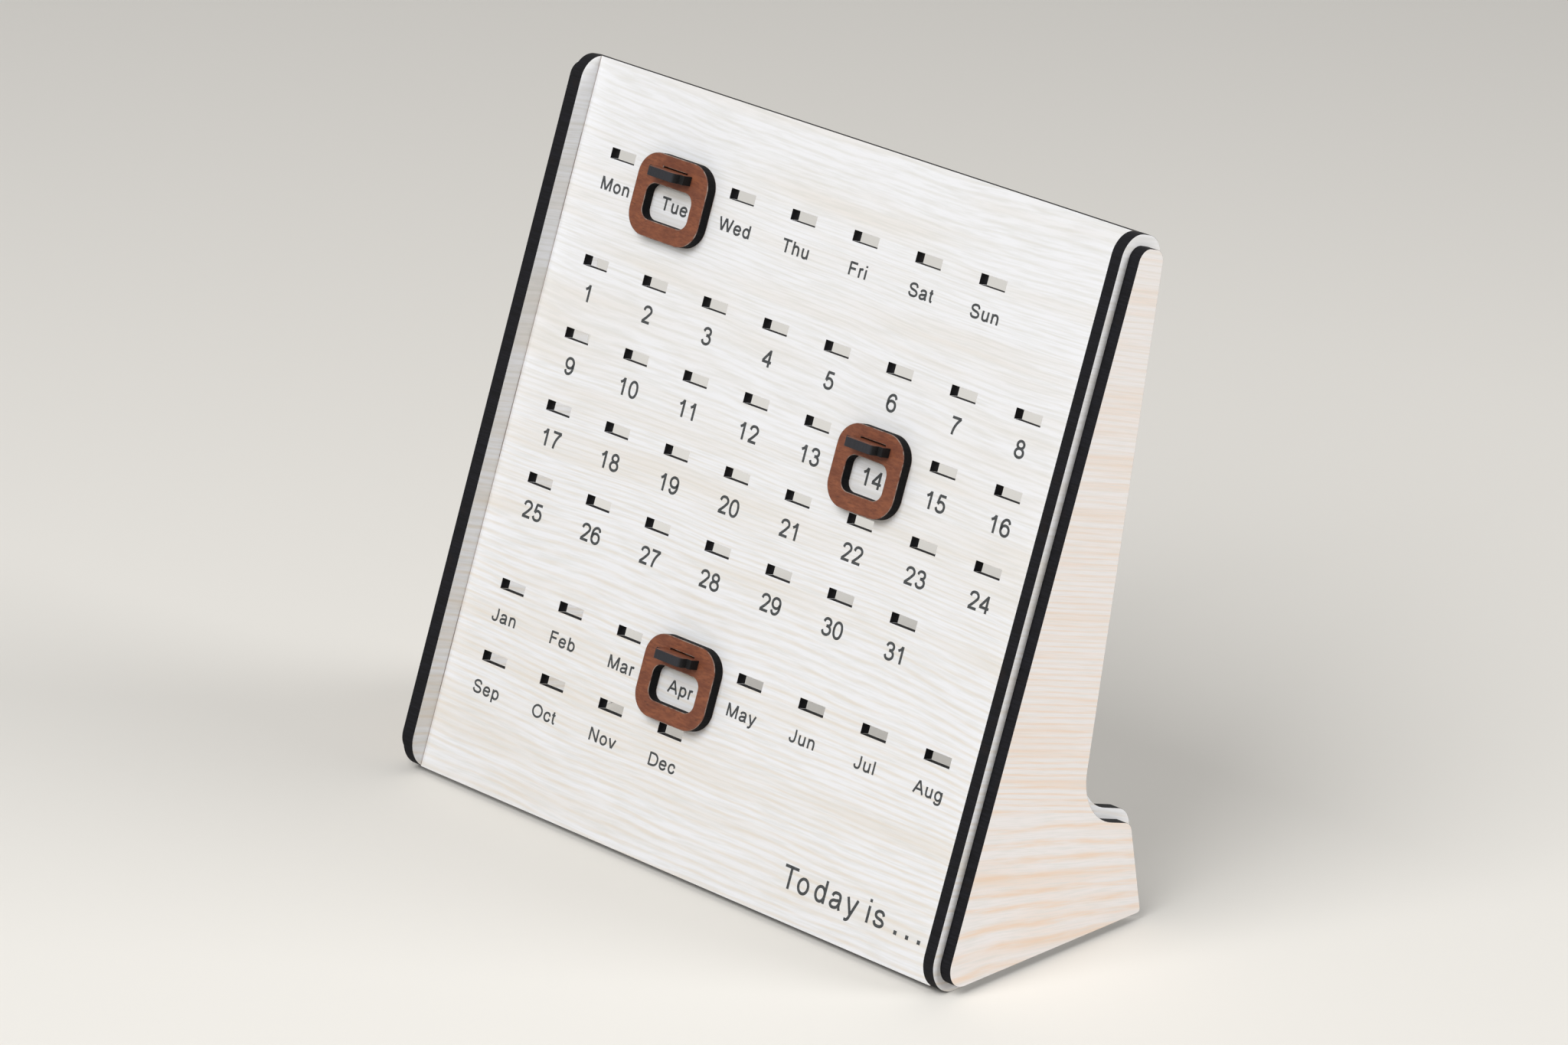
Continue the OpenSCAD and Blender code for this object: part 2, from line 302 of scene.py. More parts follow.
def veneer_rim_highlight(name):
    """Rim of the veneer, painted a light grey brown mottled with dark brown: a painted highlight along the
    rings' broken rims.
    """
    material, tree, shader, point = start_material(name)
    hues = bpy.context.scene.calendar_finishes
    # Painted highlight: the rim's light grey brown stands for the light that the broken rims catch. The noise
    # mottles it towards dark brown at random.
    mottle = add(tree, "ShaderNodeTexNoise", {"Vector": point, "Scale": 1 / 1.4, "Detail": 2})
    patchy_highlight = add(tree, "ShaderNodeMapRange", {0: mottle, 1: 0.35, 2: 0.65})
    colour = add(tree, "ShaderNodeMix", {0: patchy_highlight, 6: hues.rim, 7: hues.brown_dark}, **BLEND)
    matt = add(tree, "ShaderNodeMapRange", {0: mottle, 1: 0.3, 2: 0.7, 3: 0.5, 4: 0.7})
    dress(tree, shader, colour, matt)
    return material


def grey_print(name):
    """Dark grey print: thin, matt and a little uneven where the grain lifts it."""
    material, tree, shader, point = start_material(name)
    hues = bpy.context.scene.calendar_finishes
    cover = add(tree, "ShaderNodeMapping", {"Vector": point, "Scale": (1 / 1.1, 1 / 1.1, 1 / 0.35)})
    cover = add(tree, "ShaderNodeTexNoise", {"Vector": cover, "Scale": 1, "Detail": 2})
    lifted = add(tree, "ShaderNodeMapRange", {0: cover, 1: 0.45, 2: 0.75})
    colour = add(tree, "ShaderNodeMix", {0: lifted, 6: hues.ink, 7: hues.worn_ink}, **BLEND)
    matt = add(tree, "ShaderNodeMapRange", {0: cover, 1: 0.3, 2: 0.7, 3: 0.6, 4: 0.75})
    dress(tree, shader, colour, matt)
    return material


def finish(name):
    """A finish of this calendar by name, made when it is first needed."""
    if name in bpy.data.materials:
        return bpy.data.materials[name]
    hues = bpy.context.scene.calendar_finishes
    panel = {"ground": hues.white, "streak": hues.straw, "ring": hues.ring,
             "low": 40, "high": 120, "strength": hues.panel_streak}
    cover = {"ground": hues.side_white, "streak": hues.side_straw, "ring": hues.side_ring,
             "low": 36, "high": 190, "strength": hues.side_streak, "spread": 2.2, "fan": 0.08}
    through_side, through_face, up_the_slope = (0, 1, 1), (1, 0, 1), (1, 1, 0)
    makers = {
        "white_ash_laminate_panel": lambda: ash_laminate(name, painted_joint_shade=0.8, **panel),
        "white_ash_laminate_inner_side": lambda: ash_laminate(name, **panel),
        "white_ash_laminate_cover": lambda: ash_laminate(name, **cover),
        "sapele_veneer": lambda: sapele_veneer(name),
        "charred_edge_of_sides": lambda: charred_edge(name, through_side, hues.soot, hues.ash),
        "charred_edge_of_panel": lambda: charred_edge(name, through_face, hues.soot, hues.ash),
        "charred_edge_of_rings": lambda: charred_edge(name, through_face, hues.deep_soot, hues.soot),
        "charred_edge_of_pegs": lambda: charred_edge(name, up_the_slope, hues.deep_soot, hues.soot,
                                                     gloss=0.3, patchy_highlight=hues.tip_highlight),
        "veneer_rim_painted_highlight": lambda: veneer_rim_highlight(name),
        "grey_print": lambda: grey_print(name),
    }
    return makers[name]()


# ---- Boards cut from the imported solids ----
def cut_board(node, thickness, face, edge, rim, body, rim_finish=None):
    """A board with the node's shape, and with its rims broken.

    thickness is the axis through the board. Its two faces get the finish
    face, its cut walls edge, and its rims rim_finish, or else edge.
    """
    mesh = frame["nodes"][node].data.copy()
    mesh.name = node + "_board"
    mesh.materials.clear()
    for name in (face, edge, rim_finish):
        if name:
            mesh.materials.append(finish(name))
    face_slot, edge_slot, rim_slot = 0, 1, 2
    work = bmesh.new()
    work.from_mesh(mesh)
    bmesh.ops.remove_doubles(work, verts=work.verts, dist=WELD)
    bmesh.ops.dissolve_limit(work, angle_limit=math.radians(0.6), verts=work.verts, edges=work.edges)
    for f in work.faces:
        flat = abs(f.normal.dot(thickness)) > 0.9
        f.material_index = face_slot if flat else edge_slot
        f.smooth = not flat
    for e in work.edges:
        e.smooth = e.is_manifold and e.calc_face_angle(0) < math.radians(30)
    for layer in list(work.loops.layers.uv):
        work.loops.layers.uv.remove(layer)
    work.to_mesh(mesh)
    work.free()
    piece = new_object(node + "_board", mesh)
    round_rims(piece, rim, rim_slot if rim_finish else edge_slot)
    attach(piece, body)
    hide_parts(node)


# ---- Slotted panel, by rule ----
def new_tree(name, sockets):
    """A Geometry Nodes tree with named inputs, and a Geometry output."""
    tree = bpy.data.node_groups.new(name, "GeometryNodeTree")
    for label, kind, default in sockets:
        socket = tree.interface.new_socket(label, in_out="INPUT", socket_type=kind)
        if default is not None:
            socket.default_value = default
    tree.interface.new_socket("Geometry", in_out="OUTPUT", socket_type="NodeSocketGeometry")
    return tree, add(tree, "NodeGroupInput").node.outputs


def run_tree(piece, tree, values):
    """Gives a piece a Geometry Nodes tree, and sets inputs by their sockets' identifiers."""
    modifier = piece.modifiers.new(tree.name, "NODES")
    modifier.node_group = tree
    sockets = {s.name: s.identifier for s in tree.interface.items_tree if s.in_out == "INPUT"}
    for label, value in values.items():
        modifier[sockets[label]] = value


def slotted_panel_tree(sizes):
    """Geometry Nodes: thickens the panel's outline, cuts its three blocks of slots and leans it back."""
    size, count = "NodeSocketFloat", "NodeSocketInt"
    tree, given = new_tree("slotted_panel", [
        ("Outline", "NodeSocketGeometry", None), ("Columns", count, COLUMNS),
        *((label, count, slots) for label, slots in SLOTS.items()),
        ("Thickness", size, BOARD_T), ("Panel height", size, PANEL_H),
        ("Slot pitch", size, sizes.slot_pitch), ("Row pitch", size, sizes.row_pitch),
        ("Slot width", size, sizes.slot_w), ("Slot height", size, sizes.slot_h),
        ("Top margin", size, sizes.top_margin), ("Week drop", size, sizes.week_drop),
        ("Month drop", size, sizes.month_drop), ("Lean", "NodeSocketRotation", LEAN_BACK),
        ("Foot", "NodeSocketVector", FOOT[:]), ("Out of the face", "NodeSocketVector", OUT[:]),
        ("Face", "NodeSocketMaterial", None), ("Edge", "NodeSocketMaterial", None)])

    # The blank: the outline pushed back by the thickness, and closed in front
    back = add(tree, "ShaderNodeMath", {0: given["Thickness"], 1: -1}, operation="MULTIPLY")
    back = add(tree, "ShaderNodeCombineXYZ", {2: back})
    thick = add(tree, "GeometryNodeExtrudeMesh", {"Mesh": given["Outline"], "Offset": back, "Offset Scale": 1,
                                                  "Individual": False})
    lid = add(tree, "GeometryNodeFlipFaces", {0: given["Outline"]})
    blank = add(tree, "GeometryNodeJoinGeometry", {0: thick})
    tree.links.new(lid, blank.node.inputs[0])
    blank = add(tree, "GeometryNodeMergeByDistance", {"Geometry": blank, "Distance": WELD})

    # One slot's cutter, three boards deep
    depth = add(tree, "ShaderNodeMath", {0: given["Thickness"], 1: 3}, operation="MULTIPLY")
    cutter = add(tree, "ShaderNodeCombineXYZ", {0: given["Slot width"], 1: given["Slot height"], 2: depth})
    cutter = add(tree, "GeometryNodeMeshCube", {"Size": cutter})

    # The slots' places, counted along the rows from each block's first slot
    index = add(tree, "GeometryNodeInputIndex")
    column = add(tree, "ShaderNodeMath", {0: index, 1: given["Columns"]}, operation="MODULO")
    x = add(tree, "ShaderNodeMath", {0: column, 1: MIDDLE_COLUMN}, operation="SUBTRACT")
    x = add(tree, "ShaderNodeMath", {0: x, 1: given["Slot pitch"]}, operation="MULTIPLY")
    row = add(tree, "ShaderNodeMath", {0: index, 1: given["Columns"]}, operation="DIVIDE")
    row = add(tree, "ShaderNodeMath", {0: row}, operation="FLOOR")
    fall = add(tree, "ShaderNodeMath", {0: row, 1: given["Row pitch"]}, operation="MULTIPLY")
    days = add(tree, "ShaderNodeMath", {0: given["Panel height"], 1: given["Top margin"]},
               operation="SUBTRACT")
    half = add(tree, "ShaderNodeMath", {0: given["Slot height"], 1: 0.5}, operation="MULTIPLY")
    days = add(tree, "ShaderNodeMath", {0: days, 1: half}, operation="SUBTRACT")
    dates = add(tree, "ShaderNodeMath", {0: days, 1: given["Week drop"]}, operation="SUBTRACT")
    drop = add(tree, "ShaderNodeMath", {0: given["Row pitch"], 1: LAST_DATE_ROW, 2: given["Month drop"]},
               operation="MULTIPLY_ADD")
    months = add(tree, "ShaderNodeMath", {0: dates, 1: drop}, operation="SUBTRACT")
    cut = add(tree, "GeometryNodeMeshBoolean", {0: blank}, operation="DIFFERENCE", solver="EXACT")
    for label, first in zip(SLOTS, (days, dates, months)):
        y = add(tree, "ShaderNodeMath", {0: first, 1: fall}, operation="SUBTRACT")
        places = add(tree, "ShaderNodeCombineXYZ", {0: x, 1: y})
        places = add(tree, "GeometryNodePoints", {"Count": given[label], "Position": places})
        cutters = add(tree, "GeometryNodeInstanceOnPoints", {"Points": places, "Instance": cutter})
        tree.links.new(add(tree, "GeometryNodeRealizeInstances", {0: cutters}), cut.node.inputs[1])

    leant = add(tree, "GeometryNodeTransform", {0: cut, "Translation": given["Foot"],
                                                "Rotation": given["Lean"]})
    whole = add(tree, "GeometryNodeRealizeInstances", {0: leant})
    normal = add(tree, "GeometryNodeInputNormal")
    facing = add(tree, "ShaderNodeVectorMath", {0: normal, 1: given["Out of the face"]}, out="Value",
                 operation="DOT_PRODUCT")
    facing = add(tree, "ShaderNodeMath", {0: facing}, operation="ABSOLUTE")
    is_face = add(tree, "FunctionNodeCompare", {0: facing, 1: 0.5}, operation="GREATER_THAN")
    edged = add(tree, "GeometryNodeSetMaterial", {0: whole, "Material": given["Edge"]})
    faced = add(tree, "GeometryNodeSetMaterial", {0: edged, "Selection": is_face, "Material": given["Face"]})
    add(tree, "NodeGroupOutput", {0: faced})
    return tree


def panel_outline(sizes):
    """The panel's outline with its tabs, as one flat face in the panel's frame."""
    side, tab = PANEL_W / 2, TAB_W / 2
    right = [(side, 0)]
    for i in range(sizes.tabs):
        middle = PANEL_H * (i + 0.5) / sizes.tabs
        low, high = middle - sizes.tab_l / 2, middle + sizes.tab_l / 2
        right += [(side, low), (tab, low), (tab, high), (side, high)]
    right.append((side, PANEL_H))
    outline = right + [(-x, y) for x, y in reversed(right)]
    mesh = bpy.data.meshes.new("front_panel_board")
    mesh.from_pydata([(x, y, 0) for x, y in outline], [], [list(range(len(outline)))])
    return mesh


# ---- Lettering ----
# Each sign's width and its pen strokes, in hundredths of the capitals' height.
# A semicolon parts two strokes, ~ marks a smooth point, and a leading o closes
# its stroke.
SIGNS = {
    "0": (78, "o 39,5~ 66,50~ 39,95~ 12,50~"),
    "1": (78, "44,0 44,100; 16,70 32,80~ 43,97"),
    "2": (78, "13,70 19,87~ 39,95~ 58,88~ 65,71~ 53,50~ 14,8; 10,6 67,6"),
    "3": (78, "13,74 22,90~ 38,95~ 55,89~ 61,73~ 54,60~ 34,54; "
              "34,54 57,49~ 66,29~ 57,12~ 38,5~ 20,11~ 12,27"),
    "4": (78, "54,0 54,98; 56,95 10,31; 6,29 71,29"),
    "5": (78, "66,94 22,94; 26,96 18,47; 18,46 28,57~ 41,61~ 59,52~ 66,33~ 58,12~ 38,5~ 20,11~ 12,26"),
    "6": (78, "64,74 57,89~ 41,95~ 19,81~ 12,47~ 18,16~ 40,5~ 59,13~ 66,33~ 59,53~ 41,61~ 21,54~ 13,36"),
    "7": (78, "9,94 70,94; 68,95 43,60~ 31,26~ 28,0"),
    "8": (78, "o 39,54~ 61,74~ 39,95~ 17,74~; o 39,5~ 66,29~ 39,54~ 12,29~"),
    "9": (78, "14,26 21,11~ 37,5~ 59,19~ 66,53~ 60,84~ 38,95~ 19,87~ 12,67~ 19,47~ 37,39~ 57,46~ 65,64"),
    "A": (93, "5,0 46,98; 88,0 47,98; 21,34 72,34"),
    "D": (101, "17,0 17,100; 17,94 42,94 68,90~ 87,72~ 91,50~ 87,28~ 68,10~ 42,6 17,6"),
    "F": (85, "18,0 18,100; 18,94 79,94; 18,52 71,52"),
    "J": (70, "53,100 53,32~ 47,12~ 29,5~ 12,12~ 7,31"),
    "M": (116, "16,0 16,100; 100,0 100,100; 18,98 57,3; 98,98 59,3"),
    "N": (101, "16,0 16,100; 85,0 85,100; 18,97 83,3"),
    "O": (109, "o 54,5~ 98,50~ 54,95~ 10,50~"),
    "S": (93, "12,31 22,12~ 48,5~ 72,11~ 81,27~ 71,43~ 46,51~ 23,59~ 15,74~ 25,89~ 47,95~ 68,90~ 78,71"),
    "T": (85, "2,94 83,94; 42,0 42,96"),
    "W": (132, "6,100 35,2; 64,98 37,2; 68,98 95,2; 126,100 97,2"),
    "a": (78, "13,51 20,63~ 38,68~ 55,63~ 60,50~ 60,14~ 66,0; "
              "60,42 42,37~ 19,32~ 10,19~ 16,8~ 30,5~ 50,12~ 60,32"),
    "b": (78, "15,0 15,100; o 41,5~ 67,36~ 41,68~ 15,36~"),
    "c": (70, "62,46 56,62~ 38,68~ 18,59~ 11,37~ 18,14~ 38,5~ 56,12~ 63,28"),
    "d": (78, "63,0 63,100; o 37,5~ 63,36~ 37,68~ 11,36~"),
    "e": (78, "12,38 67,38; 67,38 60,59~ 40,68~ 18,58~ 11,36~ 18,13~ 40,5~ 57,11~ 66,24"),
    "g": (78, "63,73 63,0~ 57,-17~ 38,-24~ 20,-20~ 13,-9; o 37,5~ 63,36~ 37,68~ 11,36~"),
    "h": (78, "15,0 15,100; 15,44 22,61~ 40,68~ 57,60~ 62,44~ 62,0"),
    "i": (31, "15,0 15,73; 15,89 15,103"),
    "l": (31, "15,0 15,100"),
    "n": (78, "15,0 15,73; 15,44 22,61~ 40,68~ 57,60~ 62,44~ 62,0"),
    "o": (78, "o 38,5~ 66,36~ 38,68~ 10,36~"),
    "p": (78, "15,-28 15,73; o 41,5~ 67,36~ 41,68~ 15,36~"),
    "r": (46, "15,0 15,73; 15,44 20,61~ 32,68~ 43,64"),
    "s": (70, "9,23 17,9~ 35,5~ 54,10~ 60,20~ 52,31~ 35,36~ 17,42~ 12,53~ 18,63~ 34,68~ 50,64~ 57,52"),
    "t": (39, "19,92 19,18~ 23,8~ 36,6; 3,67 34,67"),
    "u": (78, "62,73 62,0; 62,29 55,12~ 38,5~ 21,11~ 16,27~ 16,73"),
    "v": (70, "6,73 34,2; 64,73 36,2"),
    "y": (70, "6,73 35,4; 65,73 36,0~ 29,-16~ 21,-22~ 8,-22"),
    ".": (39, "17,0 17,18; 21,0 21,18"),
}
WEEKDAYS = "Mon Tue Wed Thu Fri Sat Sun".split()
MONTHS = "Jan Feb Mar Apr May Jun Jul Aug Sep Oct Nov Dec".split()
PRINT_LIFT = 0.012 * MM      # ink above the face; a ring stands 0.05 mm off it
STROKE_STEP = 0.004 * MM     # each stroke of a sign lies this much above the last
# Where the title's letters start, and where its dots stand, in millimetres
# from the panel's middle
TITLE_STARTS = {"T": 34.5, "o": 39.2, "d": 44.7, "a": 49.7, "y": 54.8, "i": 61.2, "s": 63.6}
TITLE_DOTS = (71.0, 74.7, 78.4)


def draw_sign(curve, sign, x, y, height, stretch):
    """Adds a sign's strokes to a curve, each a hair above the last, so that none share a plane."""
    unit = height / 100
    for level, stroke in enumerate(SIGNS[sign][1].split(";")):
        points = stroke.split()
        closed = points[0] == "o"
        points = points[1:] if closed else points
        spline = curve.splines.new("BEZIER")
        spline.bezier_points.add(len(points) - 1)
        spline.use_cyclic_u = closed
        spline.resolution_u = 6
        for point, text in zip(spline.bezier_points, points):
            a, b = (float(n) for n in text.rstrip("~").split(","))
            point.co = (x + a * unit * stretch, y + b * unit, PRINT_LIFT + level * STROKE_STEP)
            kind = "AUTO" if text.endswith("~") else "VECTOR"
            point.handle_left_type = point.handle_right_type = kind


def draw_word(curve, word, middle, baseline, height, stretch, tracking):
    """Adds a word, centred on its signs' widths."""
    widths = [SIGNS[s][0] * stretch * height / 100 for s in word]
    x = middle - (sum(widths) + tracking * (len(word) - 1)) / 2
    for sign, width in zip(word, widths):
        draw_sign(curve, sign, x, baseline, height, stretch)
        x += width + tracking


def pen_tree():
    """Geometry Nodes: draws a flat stroke of the pen's width along each path, and lays it on the panel."""
    tree, given = new_tree("pen_stroke", [
        ("Paths", "NodeSocketGeometry", None), ("Pen width", "NodeSocketFloat", 0.5 * MM),
        ("Lean", "NodeSocketRotation", LEAN_BACK), ("Foot", "NodeSocketVector", FOOT[:]),
        ("Ink", "NodeSocketMaterial", None)])
    ends = []
    for side in (0.5, -0.5):
        reach = add(tree, "ShaderNodeMath", {0: given["Pen width"], 1: side}, operation="MULTIPLY")
        ends.append(add(tree, "ShaderNodeCombineXYZ", {0: reach}))
    nib = add(tree, "GeometryNodeCurvePrimitiveLine", {"Start": ends[0], "End": ends[1]})
    level = add(tree, "GeometryNodeSetCurveNormal", {"Curve": given["Paths"]}, mode="Z_UP")
    stroke = add(tree, "GeometryNodeCurveToMesh", {"Curve": level, "Profile Curve": nib})
    leant = add(tree, "GeometryNodeTransform", {0: stroke, "Translation": given["Foot"],
                                                "Rotation": given["Lean"]})
    whole = add(tree, "GeometryNodeRealizeInstances", {0: leant})
    inked = add(tree, "GeometryNodeSetMaterial", {0: whole, "Material": given["Ink"]})
    add(tree, "NodeGroupOutput", {0: inked})
    return tree


def lay_out(words, top, drop, tracking, shape, sizes):
    """A block's words for print_words: under its slots, of which the first row's upper edges are at top.

    shape is the height and the stretch of their letters.
    """
    height, stretch = shape
    return [(word, (i % COLUMNS - MIDDLE_COLUMN) * sizes.slot_pitch,
             top - i // COLUMNS * sizes.row_pitch - drop, height, stretch, tracking)
            for i, word in enumerate(words)]


def print_words(name, words, pen):
    """A print of words: (text, middle, baseline, height, stretch, tracking) each, in the panel's frame."""
    curve = bpy.data.curves.new(name, "CURVE")
    curve.dimensions = "3D"
    for word in words:
        draw_word(curve, *word)
    paths = new_object(name, curve)
    tree = bpy.data.node_groups.get("pen_stroke") or pen_tree()
    run_tree(paths, tree, {"Pen width": pen, "Ink": finish("grey_print")})
    piece = freeze(paths)
    for polygon in piece.data.polygons:
        polygon.use_smooth = False
    if sum(p.normal.dot(OUT) * p.area for p in piece.data.polygons) < 0:
        piece.data.flip_normals()
    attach(piece, "stand")


# ---- Settings ----
def length(name, description, default):
    """A length setting."""
    return bpy.props.FloatProperty(name=name, description=description, default=default, unit="LENGTH")


def hue(name, description, hex_code):
    """A colour setting, given as an sRGB hex code."""
    return bpy.props.FloatVectorProperty(name=name, description=description, subtype="COLOR", size=4,
                                         min=0, max=1, default=linear(hex_code))


def share(name, description, default, most=1):
    """A plain number between 0 and most."""
    return bpy.props.FloatProperty(name=name, description=description, default=default, min=0, max=most,
                                   subtype="FACTOR")


class CalendarPanelSizes(bpy.types.PropertyGroup):
    """Sizes of the front panel's slots and tabs, and how far the rims of all boards are broken."""
    slot_pitch: length("Slot pitch", "Spacing of the slots along a row", 20 * MM)
    row_pitch: length("Row pitch", "Spacing of the date rows, and of the month rows", 18.5 * MM)
    slot_w: length("Slot width", "Width of a slot", 8 * MM)
    slot_h: length("Slot height", "Height of a slot", 2.7 * MM)
    top_margin: length("Top margin", "From the panel's upper edge to the weekday slots", 20.4 * MM)
    week_drop: length("Week drop", "From the weekday slots to the first date slots", 27 * MM)
    month_drop: length("Month drop", "From the last date slots to the first month slots", 27.3 * MM)
    tab_l: length("Tab length", "Length of a tab along the slope", 22 * MM)
    tabs: bpy.props.IntProperty(name="Tabs", description="Tabs on each side of the panel",
                                default=3, min=2, max=4)
    rim: length("Rim", "How far the boards' cut rims are broken", 0.05 * MM)
    ring_rim: length("Ring rim", "How far the rings' rims are broken", 0.16 * MM)
    peg_rim: length("Peg rim", "How far the pegs' rims are broken", 0.12 * MM)


class CalendarLettering(bpy.types.PropertyGroup):
    """Sizes of the printed weekdays, dates and months, and of the title at the lower right."""
    word_height: length("Word height", "Height of a word's capitals", 3.25 * MM)
    word_pen: length("Word stroke", "Width of a word's strokes", 0.58 * MM)
    month_pen: length("Month stroke", "Width of a month's strokes", 0.54 * MM)
    word_drop: length("Word drop", "From a slot's upper edge to its word's baseline", 10.6 * MM)
    month_drop: length("Month drop", "From a slot's upper edge to its month's baseline", 10.85 * MM)
    month_shift: length("Month shift", "How far left of its slot a month is printed", 0.2 * MM)
    word_gap: length("Word tracking", "Extra space between the letters of a word", 0.3 * MM)
    word_stretch: share("Word stretch", "Factor on the drawn width of a word's letters", 1.05, 2)
    date_height: length("Date height", "Height of the dates' digits", 4.3 * MM)
    date_pen: length("Date stroke", "Width of the digits' strokes", 0.68 * MM)
    date_drop: length("Date drop", "From a slot's upper edge to its date's baseline", 11.2 * MM)
    date_stretch: share("Date stretch", "Factor on the drawn width of the dates' digits", 1.03, 2)
    title_height: length("Title height", "Height of the title's capital", 5.65 * MM)
    title_pen: length("Title stroke", "Width of the title's strokes", 0.76 * MM)
    title_baseline: length("Title baseline", "From the panel's lower edge to the title", 7.9 * MM)
    title_stretch: share("Title stretch", "Factor on the drawn width of the title's letters", 0.947, 2)


class CalendarFinishes(bpy.types.PropertyGroup):
    """Colours and grain of the boards, edges and print."""
    white: hue("White", "Ground of the panel's laminate", "#EFF0F3")
    side_white: hue("Side white", "Ground of the side boards' laminate", "#ECE8E7")
    growth_line: hue("Growth line", "Grey lines of the laminate", "#DADAD6")
    straw: hue("Straw", "Warm lines of the panel's laminate", "#E2DACE")
    side_straw: hue("Side straw", "Warm lines of the side boards' laminate", "#EAD0B8")
    ring: length("Growth ring", "Spacing of the panel's growth lines", 1.8 * MM)
    side_ring: length("Side growth ring", "Spacing of the growth lines at the sides' foot", 4.6 * MM)
    crowding: length("Crowding", "How far the growth lines crowd and spread", 22 * MM)
    bowing: length("Bowing", "How far the growth lines bow", 3.5 * MM)
    panel_streak: share("Panel lines", "Strength of the panel's growth lines", 0.8)
    side_streak: share("Side lines", "Strength of the side boards' growth lines", 0.8)
    brown: hue("Brown", "Main colour of the markers' veneer", "#7D452B")
    brown_dark: hue("Dark brown", "Dark clouds of the veneer", "#653420")
    brown_light: hue("Light brown", "Light clouds of the veneer", "#915637")
    brown_pore: hue("Brown pore", "Pores of the veneer", "#43241A")
    # Painted light: on the rings' broken rims this colour is a painted highlight, and along the panel's two
    # sides it is painted shade of the joint.
    rim: hue("Rim", "Singed rim of the veneer, and of the panel's paper", "#95847A")
    soot: hue("Soot", "Charred edges", "#0E0E11")
    ash: hue("Ash", "Ribs of the charred edges", "#1F1F24")
    deep_soot: hue("Deep soot", "Charred edges of the rings and pegs", "#070708")
    # Painted highlight on the front of the pegs' tips, where they face the light.
    tip_highlight: hue("Worn tip", "Charred tips of the pegs, rubbed by fingers", "#2D2E33")
    scorch: hue("Scorch", "Brown scorches of the charred edges", "#241C19")
    ink: hue("Ink", "Lettering", "#333638")
    worn_ink: hue("Worn ink", "Lettering where the grain lifts it", "#54585B")


class CalendarStage(bpy.types.PropertyGroup):
    """Floor and light."""
    floor: hue("Floor", "Colour of the floor in the light that it throws back", "#C4BDB4")
    backdrop: hue("Backdrop", "Colour of the floor and of what it runs out to, as seen", "#E9E6E0")
    key: bpy.props.FloatProperty(name="Key light", default=12.5, unit="POWER",
                                 description="Power of the large soft light above the front")
    side: bpy.props.FloatProperty(name="Side light", default=6.4, unit="POWER",
                                  description="Power of the soft light at the right rear")
    sky: bpy.props.FloatProperty(name="Surround", description="Strength of the even light all round",
                                 default=0.3, min=0)


# ---- Operators ----
class CALENDAR_OT_boards(bpy.types.Operator):
    """Cut the slotted front panel, the two inner sides and their covers"""
    bl_idname = "calendar.boards"
    bl_label = "Cut the boards"

    def execute(self, context):
        sizes = context.scene.calendar_panel
        blank = new_object("front_panel_board", panel_outline(sizes))
        run_tree(blank, slotted_panel_tree(sizes), {"Face": finish("white_ash_laminate_panel"),
                                                    "Edge": finish("charred_edge_of_panel")})
        panel = freeze(blank)
        if len(panel.data.polygons) < 4 * sum(SLOTS.values()):
            raise RuntimeError("the slots were not cut: each has four walls")
        names = [m.name if m else "" for m in panel.data.materials]
        round_rims(panel, sizes.rim, names.index("white_ash_laminate_panel"))
        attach(panel, "stand")
        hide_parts("front_panel")
        for side in ("left", "right"):
            for layer in ("inner_side", "cover"):
                cut_board(side + "_" + layer, ACROSS, "white_ash_laminate_" + layer, "charred_edge_of_sides",
                          sizes.rim, "stand")
        return {"FINISHED"}


class CALENDAR_OT_lettering(bpy.types.Operator):
    """Print the weekdays, dates, months and the title at the lower right"""
    bl_idname = "calendar.lettering"
    bl_label = "Print the lettering"

    def execute(self, context):
        sizes, text = context.scene.calendar_panel, context.scene.calendar_lettering
        word, digit = (text.word_height, text.word_stretch), (text.date_height, text.date_stretch)
        dates = [str(i + 1) for i in range(SLOTS["Dates"])]
        top = PANEL_H - sizes.top_margin
        print_words("weekday_print", lay_out(WEEKDAYS, top, text.word_drop, text.word_gap, word, sizes),
                    text.word_pen)
        top -= sizes.week_drop
        print_words("date_print", lay_out(dates, top, text.date_drop, 0, digit, sizes), text.date_pen)
        top -= LAST_DATE_ROW * sizes.row_pitch + sizes.month_drop
        months = lay_out(MONTHS, top, text.month_drop, text.word_gap, word, sizes)
        print_words("month_print", [(m, x - text.month_shift, *rest) for m, x, *rest in months],
                    text.month_pen)
        baseline, height, stretch = text.title_baseline, text.title_height, text.title_stretch
        title = [(sign, x * MM + SIGNS[sign][0] * stretch * height / 200, baseline, height, stretch, 0)
                 for sign, x in TITLE_STARTS.items()]
        title += [(".", x * MM, baseline, height, stretch, 0) for x in TITLE_DOTS]
        print_words("today_print", title, text.title_pen)
        return {"FINISHED"}


class CALENDAR_OT_markers(bpy.types.Operator):
    """Cut the three ring markers and their pegs"""
    bl_idname = "calendar.markers"
    bl_label = "Cut the markers"

    def execute(self, context):
        sizes = context.scene.calendar_panel
        for name in ("weekday", "date", "month"):
            cut_board(name + "_ring", OUT, "sapele_veneer", "charred_edge_of_rings", sizes.ring_rim,
                      name + "_marker", "veneer_rim_painted_highlight")
            cut_board(name + "_peg", UP, "sapele_veneer", "charred_edge_of_pegs", sizes.peg_rim,
                      name + "_marker")
        return {"FINISHED"}


def seen_directly(tree):
    """1 where the eye looks at a surface, straight or in gloss or glass, and 0 for its bounced light."""
    path = add(tree, "ShaderNodeLightPath").node.outputs
    direct = add(tree, "ShaderNodeMath", {0: path["Is Glossy Ray"], 1: path["Is Transmission Ray"]},
                 operation="MAXIMUM")
    return add(tree, "ShaderNodeMath", {0: path["Is Camera Ray"], 1: direct}, operation="MAXIMUM")


